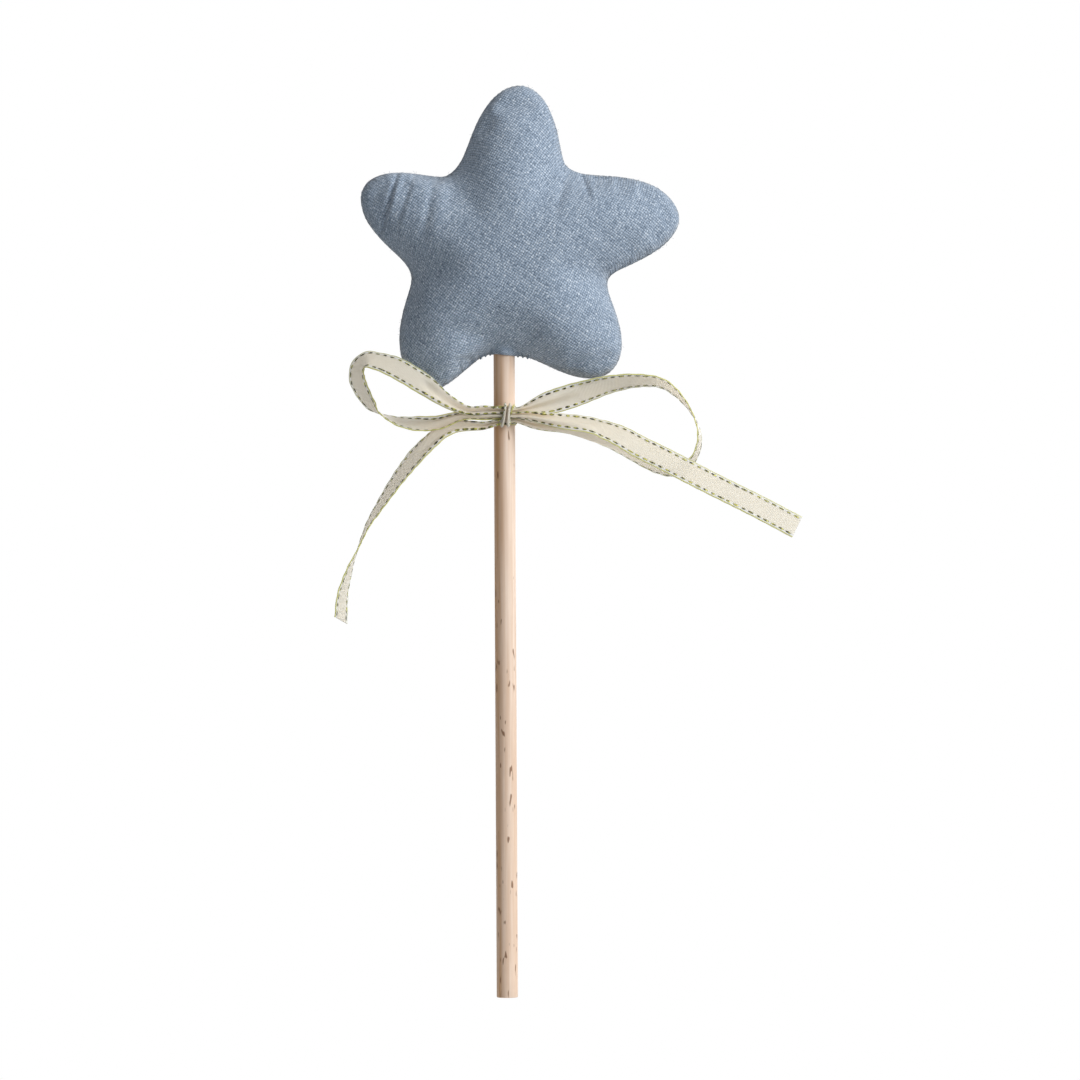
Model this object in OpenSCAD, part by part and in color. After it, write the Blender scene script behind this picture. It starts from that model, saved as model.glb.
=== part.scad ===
// Toy magic wand: a stuffed linen star on a beech dowel, with a ribbon bow tied under the star.
// It stands upright, with the middle of the dowel's foot at the origin and the star's front towards -Y.

/* [Dowel] */
// Diameter of the beech dowel
dowel_d = 8; // [6:0.5:10]
// Length that the dowel is cut to
dowel_len = 300; // [260:5:360]
// Edge broken at both ends of the dowel
dowel_bevel = 0.3; // [0.1:0.1:0.8]
// Height of the glue drop on the dowel's top end
glue_h = 3; // [2:0.5:5]

/* [Star] */
// Middle of the star to its longest tips
star_reach = 64; // [56:1:72]
// Middle of the star to its notches
star_notch = 38.5; // [34:0.5:42]
// Thickness of the stuffed star at its middle
star_thick = 36; // [28:1:42]
// How far the dowel's top end passes the middle of the star
star_grip = 21.5; // [14:0.5:26]
// How far the middle of the star sits to the right of the dowel
star_off = 3.5; // [1:0.5:5]
// Thickness of the linen
linen_t = 0.6; // [0.4:0.1:1]
// Width of the seam allowance turned to the inside
allowance = 5; // [3:0.5:7]
// Diameter of the sewing thread
thread_d = 0.4; // [0.3:0.05:0.6]
// Hand stitches that close the mouth, on each side of the dowel
closing_count = 3; // [2:1:4]
// Spacing of the hand stitches
closing_step = 1.8; // [1.2:0.1:2.4]
// Length of a hand stitch, from the front panel to the back panel
closing_len = 3; // [2:0.2:4]

/* [Ribbon] */
// Width of the ribbon
ribbon_w = 10; // [8:0.5:12]
// Thickness of the ribbon
ribbon_t = 0.4; // [0.3:0.05:0.6]
// Width of the knot
knot_w = 4; // [3:0.5:5]
// Depth of the knot, front to back
knot_d = 3.8; // [3.2:0.2:5]
// How far the knot sits to the right of the dowel's axis
knot_off = 1.5; // [0:0.25:2.5]
// Knot to the far end of the left loop
left_loop_reach = 54.6; // [46:0.2:64]
// Knot up to the crest of the left loop
left_loop_rise = 22; // [18:0.5:26]
// Knot to the far end of the right loop
right_loop_reach = 69.2; // [60:0.2:78]
// Knot up to the crest of the right loop
right_loop_rise = 12.8; // [11:0.2:15]
// How far the right loop swings back behind the knot
right_loop_depth = 9.6; // [8:0.2:12]
// Knot to the end of the left tail, sideways
left_tail_reach = 60.5; // [52:0.5:70]
// Knot to the end of the left tail, downwards
left_tail_drop = 76.3; // [64:0.1:88]
// How far the left tail swings back behind the knot
left_tail_depth = 4; // [3:0.25:5]
// Knot to the end of the right tail, sideways
right_tail_reach = 105.5; // [90:0.5:120]
// Knot to the end of the right tail, downwards
right_tail_drop = 42.4; // [36:0.2:48]

/* [Fits] */
// Gap between soft pieces and what they lie against
gap = 0.3; // [0.2:0.05:0.4]
// Running clearance of the ribbon's wrap on the dowel
wrap_fit = 0.05; // [0.02:0.01:0.1]
// Gap between the left loop and the front of the star
loop_gap = 1.6; // [1:0.1:3]
// From the star's right foot down to the crest of the right loop
crest_gap = 1; // [0.6:0.1:3]

/* [Hidden] */
$fn = 64;
overrun = dowel_d;

// Star outline: each arm has a tip, and each notch lies before the tip of the same number
tip_angles = [13.3, 87, 156, 236, 309.5];
tip_reach_shares = [1, 0.99, 0.96, 0.95, 0.893];
notch_angles = [-15, 58, 129, 192, 265];
notch_reach_shares = [0.955, 1, 0.995, 1.01, 0.985];
// How hollow each flank is, before and after its tip
rising_powers = [0.97, 0.85, 0.9, 0.8, 1.7];
falling_powers = [1.2, 1.35, 1.15, 2.3, 1];
arms = len(tip_angles);
flank_steps = 6;
// Crown of the stuffed star: full over the middle, steep at the seam
crown_round = 2.2;
crown_steep = 0.6;
outer_ring_shares = [0.25, 0.45, 0.62, 0.76, 0.87, 0.94, 0.98];
inner_ring_shares = [0.97, 0.88, 0.7, 0.45, 0.22];

dowel_r = dowel_d / 2;
bore_r = dowel_r + gap;
thread_r = thread_d / 2;
star_z = dowel_len - star_grip;
star_half = star_thick / 2;
middle_r = (star_reach + star_notch) / 2;
glue_r_share = 0.9;
stitch_line = linen_t + thread_d + gap;
stitch_y = linen_t + gap + thread_r;
filling_clear = stitch_y + thread_r + gap;

// Angle and radius of every point of the outline, counter-clockwise from the first notch
outline = [for (i = [0 : arms - 1]) each concat(
    [for (k = [0 : flank_steps - 1]) let (u = k / flank_steps)
        [notch_angles[i] + (tip_angles[i] - notch_angles[i]) * u,
         flank_r(notch_r(i), tip_r(i), rising_powers[i], u)]],
    [for (k = [0 : flank_steps - 1]) let (u = 1 - k / flank_steps)
        [next_notch_angle(i) + (tip_angles[i] - next_notch_angle(i)) * u,
         flank_r(notch_r(i + 1), tip_r(i), falling_powers[i], u)]])];
outline_angles = concat([for (p = outline) p[0]], [outline[0][0] + 360]);
outline_radii = concat([for (p = outline) p[1]], [outline[0][1]]);

wrap_r = dowel_r + wrap_fit;
wrap_out = wrap_r + ribbon_t;
wrap_h_share = 0.7;
knot_h_share = 0.92;
knot_h = ribbon_w * knot_h_share;
knot_y = -(wrap_out + gap + knot_d / 2);
knot_waist_share = 0.2;
knot_fold_share = 0.07;
knot_folds = 5;
right_foot_z = min([for (a = [280 : 2 : 330]) star_z + star_r(a) * sin(a)]);
bow_z = right_foot_z - crest_gap - right_loop_rise;
left_face = knot_off - knot_w / 2 - gap;
right_face = knot_off + knot_w / 2 + gap;
// The left loop's upper strand leans in front of the star's left foot
foot_crown_share = 0.31;
strand_turn = 54;
left_loop_depth = star_half * foot_crown_share + loop_gap + ribbon_w / 2 * cos(strand_turn) + knot_y;
strip_steps = 3;

// Ribbon stretches, each from the knot outwards: sideways, forward and up as shares of the stretch's
// reach, depth and rise, height in the knot's stack as a share of the width, turn of the ribbon about
// its own line in degrees, and how far it is gathered as a share of the width
left_loop_shares = [
    [0, 0, 0, -0.02, -90, 0.3], [0.095, 0, 0, -0.02, -90, 0.32], [0.277, 0, 0, -0.01, -70, 0.34],
    [0.434, -0.39, -0.11, 0, -44, 0.75], [0.571, -0.83, -0.127, 0, -36, 0.95], [0.718, -1.34, -0.077, 0, -20, 1],
    [0.837, -1.58, 0.05, 0, 0, 1], [0.897, -1.65, 0.184, 0, 22, 1], [0.945, -1.62, 0.35, 0, 31, 1],
    [0.99, -1.3, 0.6, 0, 38, 1], [0.984, -0.8, 0.82, 0, 38, 1], [0.925, -0.2, 0.95, 0, 38, 1],
    [0.83, 0.5, 0.915, 0, 44, 1], [0.718, 1, 0.805, 0, strand_turn, 1], [0.553, 1, 0.56, 0, strand_turn, 1],
    [0.388, 0.75, 0.237, 0.05, 60, 0.6], [0.242, 0.35, 0.03, 0.125, 80, 0.16], [0.114, 0.05, 0, 0.2, 88, 0.16],
    [0, 0, 0, 0.27, 90, 0.24]];
right_loop_shares = [
    [0, -0.12, 0, 0.24, -90, 0.27], [0.075, -0.13, 0.06, 0.2, -80, 0.42], [0.182, -0.15, 0.26, 0.12, -70, 0.85],
    [0.355, -0.21, 0.635, 0, -58, 1], [0.517, -0.38, 0.89, 0, -40, 1], [0.68, -0.59, 1, 0, -27, 1],
    [0.816, -0.745, 0.875, 0, -18, 1], [0.935, -0.9, 0.27, 0, -5, 1], [1, -0.963, -0.51, 0, 8, 1],
    [0.978, -1, -1.21, 0, 14, 1], [0.884, -1, -1.64, 0, 20, 1], [0.754, -0.995, -1.5, 0, 24, 1],
    [0.523, -0.963, -0.845, 0, 26, 0.95], [0.3, -0.57, -0.37, -0.06, 40, 0.7],
    [0.147, -0.235, -0.1, -0.27, 70, 0.4], [0.06, -0.14, -0.02, -0.28, 85, 0.3], [0, -0.12, 0, -0.26, 90, 0.27]];
left_tail_shares = [
    [0, 0, 0, -0.36, -90, 0.28], [0.122, -0.26, -0.004, -0.36, -85, 0.3],
    [0.266, -0.56, -0.012, -0.3, -65, 0.5],
    [0.35, -0.6, -0.058, -0.1, -48, 0.74], [0.42, -0.67, -0.11, 0, -41, 0.9], [0.528, -0.8, -0.19, 0, -37, 1],
    [0.608, -0.92, -0.266, 0, -32, 1], [0.675, -0.99, -0.338, 0, -27, 1], [0.785, -0.96, -0.47, 0, -17, 1],
    [0.841, -0.8, -0.546, 0, -10, 1], [0.911, -0.4, -0.679, 0, 0, 1], [0.944, 0, -0.75, 0, 10, 1],
    [0.974, 0.5, -0.828, 0, 17, 1], [0.992, 0.95, -0.9, 0, 23, 1], [1, 1.5, -1, 0, 26, 1]];
right_tail_shares = [
    [0, 0.09, 0, 0, 90, 0.3], [0.045, 0.17, 0, -0.01, 85, 0.34], [0.0985, 0.25, -0.03, 0, 62, 0.4],
    [0.179, 0.25, -0.061, 0, 38, 0.75], [0.265, 0.2, -0.09, 0, 34, 0.97], [0.323, 0.16, -0.137, 0, 44, 1],
    [0.38, 0.12, -0.197, 0, 53, 1], [0.4425, 0.09, -0.286, 0, 58, 1], [0.5325, 0.09, -0.397, 0, 59, 1],
    [0.673, 0.06, -0.58, 0, 58, 1], [0.7735, 0, -0.706, 0, 58, 1], [0.874, -0.1, -0.8325, 0, 59, 1],
    [1, -0.17, -1, 0, 60, 1]];

// Radius of the star's outline on a flank, where u runs from the notch, 0, to the tip, 1
function flank_r(notch_r, tip_r, power, u) =
    notch_r + (tip_r - notch_r) * pow((1 - cos(180 * u)) / 2, power);
function notch_r(i) = star_notch * notch_reach_shares[i % arms];
function tip_r(i) = star_reach * tip_reach_shares[i];
function next_notch_angle(i) = i + 1 < arms ? notch_angles[i + 1] : notch_angles[0] + 360;
function star_r(angle) =
    lookup(angle, [for (k = [0 : len(outline)]) [outline_angles[k], outline_radii[k]]]);
function crown(share) = pow(1 - pow(share, crown_round), crown_steep);

// One ring of the star, drawn in from the outline by an inset and growing round towards the middle
function star_ring(share, inset, y) =
    [for (p = outline) let (r = share * (middle_r + (p[1] - inset - middle_r) * share))
        [star_off + r * cos(p[0]), y, star_z + r * sin(p[0])]];
function star_pole(y) = [star_off, y, star_z];

// Triangles between rings of m points that follow a number of earlier points, split along the shorter diagonal
function ring_faces(points, rings, m, first) =
    [for (i = [0 : rings - 2], j = [0 : m - 1])
        let (a = first + i * m + j, b = first + i * m + (j + 1) % m, c = b + m, d = a + m)
        each norm(points[a] - points[c]) < norm(points[b] - points[d])
            ? [[a, d, c], [a, c, b]] : [[a, d, b], [d, c, b]]];
function flipped(faces) = [for (f = faces) [f[2], f[1], f[0]]];

// Closed solid through rings between two poles
module poled_solid(pole_in, rings, pole_out, turned) {
    m = len(rings[0]);
    last = 1 + len(rings) * m;
    points = concat([pole_in], [for (r = rings) each r], [pole_out]);
    faces = concat(
        [for (j = [0 : m - 1]) [0, 1 + j, 1 + (j + 1) % m]],
        ring_faces(points, len(rings), m, 1),
        [for (j = [0 : m - 1]) [last, last - m + (j + 1) % m, last - m + j]]);
    polyhedron(points, turned ? flipped(faces) : faces);
}

// Space that the dowel and its glue take up inside the star
module dowel_bore() {
    cylinder(r = bore_r, h = dowel_len + glue_h + gap);
}

// A linen panel, crowned outwards to one side, with its allowance turned in along the seam
module star_panel(side) {
    inner_half = star_half - linen_t;
    rings = concat(
        [for (s = outer_ring_shares) star_ring(s, 0, side * star_half * crown(s))],
        [star_ring(1, 0, 0), star_ring(1, allowance, 0), star_ring(1, allowance, side * linen_t),
         star_ring(1, linen_t, side * linen_t)],
        [for (s = inner_ring_shares) star_ring(s, linen_t, side * inner_half * crown(s))]);
    difference() {
        poled_solid(star_pole(side * star_half), rings, star_pole(side * inner_half), side < 0);
        dowel_bore();
    }
}

module dowel() {
    color("#e6cdb4")
    rotate_extrude()
    polygon([[0, 0], [dowel_r - dowel_bevel, 0], [dowel_r, dowel_bevel], [dowel_r, dowel_len - dowel_bevel],
             [dowel_r - dowel_bevel, dowel_len], [0, dowel_len]]);
}

// Set drop of glue that holds the filling to the dowel's end
module glue_drop() {
    glue_r = dowel_r * glue_r_share - dowel_bevel;
    dome_r = (glue_r * glue_r + glue_h * glue_h) / (2 * glue_h);
    color("#efe9d6")
    translate([0, 0, dowel_len])
    rotate_extrude()
    intersection() {
        translate([0, glue_h - dome_r]) circle(r = dome_r);
        square([dome_r, glue_h]);
    }
}

module star_front_panel() {
    color("#8698ad") star_panel(-1);
}

module star_back_panel() {
    color("#8698ad") star_panel(1);
}

// Filling, a gap inside both panels and clear of their allowances
module stuffing() {
    inset = linen_t + gap;
    half = star_half - inset;
    neck = allowance + gap;
    edge_share = inner_ring_shares[0];
    front_shares = [for (k = [len(inner_ring_shares) - 1 : -1 : 0]) inner_ring_shares[k]];
    rings = concat(
        [for (s = front_shares) star_ring(s, inset, -half * crown(s))],
        [star_ring(edge_share, inset, -filling_clear), star_ring(1, neck, -filling_clear),
         star_ring(1, neck, filling_clear), star_ring(edge_share, inset, filling_clear)],
        [for (s = inner_ring_shares) star_ring(s, inset, half * crown(s))]);
    color("#f4f2ec")
    difference() {
        poled_solid(star_pole(-half), rings, star_pole(half), true);
        dowel_bore();
    }
}

// Closed tube round the star, one line of the seam's lockstitch
module stitch_row(y) {
    sides = 5;
    path = star_ring(1, stitch_line, y);
    n = len(path);
    rings = [for (k = [0 : n - 1])
        let (out = path[k] - star_pole(y), u = out / norm(out))
        [for (j = [0 : sides - 1]) let (a = 360 * j / sides)
            path[k] + u * thread_r * cos(a) + [0, thread_r * sin(a), 0]]];
    faces = [for (i = [0 : n - 1], j = [0 : sides - 1])
        let (a = i * sides + j, b = i * sides + (j + 1) % sides,
             c = (i + 1) % n * sides + (j + 1) % sides, d = (i + 1) % n * sides + j)
        each [[a, c, d], [a, b, c]]];
    polyhedron([for (r = rings) each r], flipped(faces));
}

// Both threads of the seam, open where the dowel comes in
module seam_thread() {
    color("#7f91a6")
    difference() {
        union() {
            stitch_row(-stitch_y);
            stitch_row(stitch_y);
        }
        dowel_bore();
    }
}

// Hand stitches over the seam on both sides of the dowel
module closing_stitches() {
    color("#7f91a6")
    for (side = [-1, 1], k = [0 : closing_count - 1]) {
        x = side * (bore_r + closing_step * (k + 1 / 2));
        angle = 270 + atan((x - star_off) / star_notch);
        z = star_z + star_r(angle) * sin(angle) - gap - thread_r;
        translate([x, closing_len / 2, z])
        rotate([90, 0, 0])
        cylinder(d = thread_d, h = closing_len);
    }
}

// Ribbon wrapped round the dowel behind the knot
module ribbon_wrap() {
    wrap_h = ribbon_w * wrap_h_share;
    color("#e6e0d6")
    translate([0, 0, bow_z - wrap_h / 2])
    difference() {
        cylinder(r = wrap_out, h = wrap_h);
        translate([0, 0, -overrun]) cylinder(r = wrap_r, h = wrap_h + 2 * overrun);
    }
}

// Knot: the ribbon's cross wrap, drawn tight in folds and narrower at top and bottom
module ribbon_knot() {
    levels = 8;
    sides = 30;
    rings = [for (i = [1 : levels - 1])
        let (v = 1 - 2 * i / levels, taper = 1 - knot_waist_share * v * v,
             cap = min(1, sqrt(1 - pow(abs(v), 6))))
        [for (j = [0 : sides - 1])
            let (a = 360 * j / sides, fold = 1 - knot_fold_share * (1 + cos(knot_folds * a + 40 * v)))
            [knot_off + knot_w / 2 * taper * cap * fold * cos(a),
             knot_y + knot_d / 2 * taper * cap * fold * sin(a),
             bow_z + knot_h / 2 * v]]];
    color("#ded6ca")
    poled_solid([knot_off, knot_y, bow_z + knot_h / 2], rings, [knot_off, knot_y, bow_z - knot_h / 2], true);
}

// Catmull-Rom curve through the rows of a table
function blend(a, b, c, d, u) =
    (2 * b + (c - a) * u + (2 * a - 5 * b + 4 * c - d) * u * u + (3 * b - a - 3 * c + d) * u * u * u) / 2;
function smooth(rows) =
    let (n = len(rows))
    concat([for (i = [0 : n - 2], k = [0 : strip_steps - 1])
        blend(rows[max(i - 1, 0)], rows[i], rows[i + 1], rows[min(i + 2, n - 1)], k / strip_steps)],
        [rows[n - 1]]);

// Ribbon stretch as a thin strip of constant thickness, turned and gathered along its line
module ribbon_strip(shares, side, face, reach, depth, rise) {
    rows = smooth(shares);
    n = len(rows);
    line = [for (r = rows)
        [face + side * reach * r[0], knot_y - depth * r[1], bow_z + rise * r[2] + ribbon_w * r[3]]];
    rings = [for (i = [0 : n - 1])
        let (along = line[min(i + 1, n - 1)] - line[max(i - 1, 0)], t = along / norm(along),
             flat = [0, 1, 0] - t[1] * t, b = flat / norm(flat), up = cross(t, b),
             w = b * cos(rows[i][4]) + up * sin(rows[i][4]), thick = cross(t, w) * ribbon_t / 2,
             half = w * ribbon_w / 2 * rows[i][5])
        [line[i] + half + thick, line[i] - half + thick, line[i] - half - thick, line[i] + half - thick]];
    points = [for (r = rings) each r];
    last = 4 * (n - 1);
    faces = concat([[0, 1, 2], [0, 2, 3]], ring_faces(points, n, 4, 0),
        [[last, last + 2, last + 1], [last, last + 3, last + 2]]);
    polyhedron(points, faces);
}

module left_loop() {
    color("#ebe7de")
    ribbon_strip(left_loop_shares, -1, left_face, left_loop_reach, left_loop_depth, left_loop_rise);
}

module right_loop() {
    color("#e0d8cc")
    ribbon_strip(right_loop_shares, 1, right_face, right_loop_reach, right_loop_depth, right_loop_rise);
}

module left_tail() {
    color("#e6e1d4")
    ribbon_strip(left_tail_shares, -1, left_face, left_tail_reach, left_tail_depth, left_tail_drop);
}

module right_tail() {
    color("#e2dbd1")
    ribbon_strip(right_tail_shares, 1, right_face, right_tail_reach, knot_d, right_tail_drop);
}

dowel();
glue_drop();
star_front_panel();
star_back_panel();
stuffing();
seam_thread();
closing_stitches();
ribbon_wrap();
ribbon_knot();
left_loop();
right_loop();
left_tail();
right_tail();
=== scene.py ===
import bmesh
import bpy
import math
import numpy as np
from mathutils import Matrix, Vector, noise
from mathutils.geometry import delaunay_2d_cdt


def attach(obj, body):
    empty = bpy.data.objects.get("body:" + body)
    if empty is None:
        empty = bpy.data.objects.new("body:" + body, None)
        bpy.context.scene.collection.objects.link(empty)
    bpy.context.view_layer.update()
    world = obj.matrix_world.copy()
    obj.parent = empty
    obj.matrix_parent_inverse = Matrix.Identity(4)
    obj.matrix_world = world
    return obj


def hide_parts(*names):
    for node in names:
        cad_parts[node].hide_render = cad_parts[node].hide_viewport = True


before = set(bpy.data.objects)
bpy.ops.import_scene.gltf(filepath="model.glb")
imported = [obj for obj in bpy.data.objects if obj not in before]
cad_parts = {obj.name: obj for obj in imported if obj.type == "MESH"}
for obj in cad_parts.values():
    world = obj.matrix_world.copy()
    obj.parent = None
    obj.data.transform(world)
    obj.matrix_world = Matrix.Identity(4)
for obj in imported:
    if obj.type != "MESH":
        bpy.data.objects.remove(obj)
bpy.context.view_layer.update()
scene = bpy.context.scene
mm = 0.001
print("frame loaded:", len(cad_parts), "nodes")


# small helpers
def linear(hexCode):
    channels = [int(hexCode[k:k + 2], 16) / 255 for k in (1, 3, 5)]
    return [c / 12.92 if c <= 0.04045 else ((c + 0.055) / 1.055) ** 2.4 for c in channels] + [1.0]


def feed(tree, node, inputs):
    # a node is linked by its first output in use, a socket as it is, anything else is the input's own value
    for key, value in inputs.items():
        if isinstance(value, bpy.types.Node):
            value = next(socket for socket in value.outputs if socket.enabled)
        if isinstance(value, bpy.types.NodeSocket):
            tree.links.new(value, node.inputs[key])
        else:
            node.inputs[key].default_value = value


# inputs by number: Mix has its share in 0, numbers in 2 and 3 and colours in 6 and 7,
# Map Range reads from 1 to 2 and gives from 3 to 4
def addNode(tree, kind, inputs=None, **settings):
    node = tree.nodes.new(kind)
    for key, value in settings.items():
        setattr(node, key, value)
    feed(tree, node, inputs or {})
    return node


def newMaterial(name):
    material = bpy.data.materials.new(name)
    material.use_nodes = True
    tree = material.node_tree
    return material, tree, tree.nodes["Principled BSDF"]


def newPiece(name, points, faces, material, edges=()):
    mesh = bpy.data.meshes.new(name)
    mesh.from_pydata([tuple(p) for p in points], list(edges), [tuple(f) for f in faces])
    mesh.materials.append(material)
    piece = bpy.data.objects.new(name, mesh)
    scene.collection.objects.link(piece)
    if faces:
        mesh.shade_smooth()
    return piece


def unit(v):
    return v / np.maximum(np.linalg.norm(v, axis=-1, keepdims=True), 1e-12)


def runAlong(line):
    # distance from the start, at each point of a line
    return np.append(0, np.cumsum(np.linalg.norm(np.diff(line, axis=0), axis=1)))


def readVectors(things, name):
    values = np.empty(len(things) * 3)
    things.foreach_get(name, values)
    return values.reshape(-1, 3)


def bakeMesh(piece):
    # what the modifiers give, as a plain mesh
    shown = piece.evaluated_get(bpy.context.evaluated_depsgraph_get())
    mesh = bpy.data.meshes.new_from_object(shown)
    piece.modifiers.clear()
    old = piece.data
    piece.data = mesh
    bpy.data.meshes.remove(old)


def turns(count):
    return [math.tau * k / count for k in range(count)]


def circle(radius, z, count):
    return [(radius * math.cos(a), radius * math.sin(a), z) for a in turns(count)]


def skinRings(rings):
    # closed skin over rings of points, capped at both ends
    count, around, faces = len(rings), len(rings[0]), []
    for i in range(1, count):
        for j in range(around):
            k = (j + 1) % around
            faces.append(((i - 1) * around + j, (i - 1) * around + k, i * around + k, i * around + j))
    faces.append(tuple(range(around - 1, -1, -1)))
    faces.append(tuple(range((count - 1) * around, count * around)))
    return [p for ring in rings for p in ring], faces


# camera at the photograph's viewing angle: level, long lens, a hair of roll
cameraView = {"distance": 2.2, "target": (0.0131, 0.0, 0.1714), "frameWidth": 0.405, "roll": 0.29,
              "sensor": 36, "clipEnd": 20}

cameraData = bpy.data.cameras.new("photoCamera")
cameraData.sensor_width = cameraView["sensor"]
cameraData.lens = cameraView["sensor"] * cameraView["distance"] / cameraView["frameWidth"]
cameraData.clip_end = cameraView["clipEnd"]
camera = bpy.data.objects.new("photoCamera", cameraData)
scene.collection.objects.link(camera)
camera.location = Vector(cameraView["target"]) - Vector((0, cameraView["distance"], 0))
camera.rotation_euler = (math.radians(90), math.radians(cameraView["roll"]), 0)
scene.camera = camera
scene.view_settings.view_transform = 'Standard'

# soft light from the upper right, white seen behind
studio = {
    "ambient": 0.28, "aim": (0, 0, 0.25),
    "lamps": {  # place, watts and size
        "keyLight": ((1.35, -0.75, 1.0), 27.5, 0.8),
        "fillLight": ((0.4, -1.6, 0.5), 2.5, 1.0),
        "backLight": ((0.6, 1.6, 0.7), 10.0, 1.0)},
    "floorDrop": -0.13, "floorRadius": 0.34, "floorAround": 96, "paper": "#f7f7f5",
}

for name, (place, watts, width) in studio["lamps"].items():
    lamp = bpy.data.lights.new(name, 'AREA')
    lamp.energy = watts
    lamp.size = width
    light = bpy.data.objects.new(name, lamp)
    scene.collection.objects.link(light)
    light.location = place
    aim = Vector(studio["aim"]) - Vector(place)
    light.rotation_euler = aim.to_track_quat('-Z', 'Y').to_euler()

world = bpy.data.worlds.new("whiteStudio")
world.use_nodes = True
scene.world = world
tree = world.node_tree
tree.nodes.clear()
rays = addNode(tree, "ShaderNodeLightPath").outputs
seen = rays["Is Camera Ray"]
for ray in ("Is Glossy Ray", "Is Transmission Ray"):
    seen = addNode(tree, "ShaderNodeMath", {0: seen, 1: rays[ray]}, operation='MAXIMUM')
ambient = addNode(tree, "ShaderNodeBackground", {0: (1, 1, 1, 1), 1: studio["ambient"]})
white = addNode(tree, "ShaderNodeBackground", {0: (1, 1, 1, 1), 1: 1.0})
mixed = addNode(tree, "ShaderNodeMixShader", {0: seen, 1: ambient, 2: white})
addNode(tree, "ShaderNodeOutputWorld", {0: mixed})

floorPaper, tree, shader = newMaterial("floorPaper")  # matt white studio paper
feed(tree, shader, {"Base Color": linear(studio["paper"]), "Roughness": 0.9})
floorPoints = circle(studio["floorRadius"], studio["floorDrop"], studio["floorAround"])
floor = newPiece("floor", floorPoints, [range(len(floorPoints))], floorPaper)
print("camera, light and floor set")


# Linen, coarse plain weave of slubby yarn-dyed threads about 0.9 mm apart: each thread has its own tone,
# gaps between threads are darkened with painted shade and thread tops lightened with painted light, and loose fibres
# give it a soft sheen
linenLook = {
    "dark": "#5b6c80", "middle": "#98a9bd", "light": "#d3deea", "darkTo": 0.22, "middleAt": 0.5, "lightFrom": 0.78,
    "threadStep": 0.9 * mm, "bias": 33, "bump": 0.7, "bumpDepth": 0.25 * mm,
    # in threads: how far one wanders, and how often it wanders and thickens
    "wobble": 0.45, "wobbleScale": 0.23, "slubScale": 1.1,
    # shares of the tone that come from slubs and from single crossings
    "slubShare": 0.9, "pepper": 0.1,
    # a thread's roundness, how far it dives at its ends, and the painted shade in its gaps and painted light on its
    # top
    "roundness": 0.6, "dive": 0.5, "gapAt": 0.05, "topAt": 0.75, "gapPaintedShade": 0.42, "topPaintedLight": 1.18,
}


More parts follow.
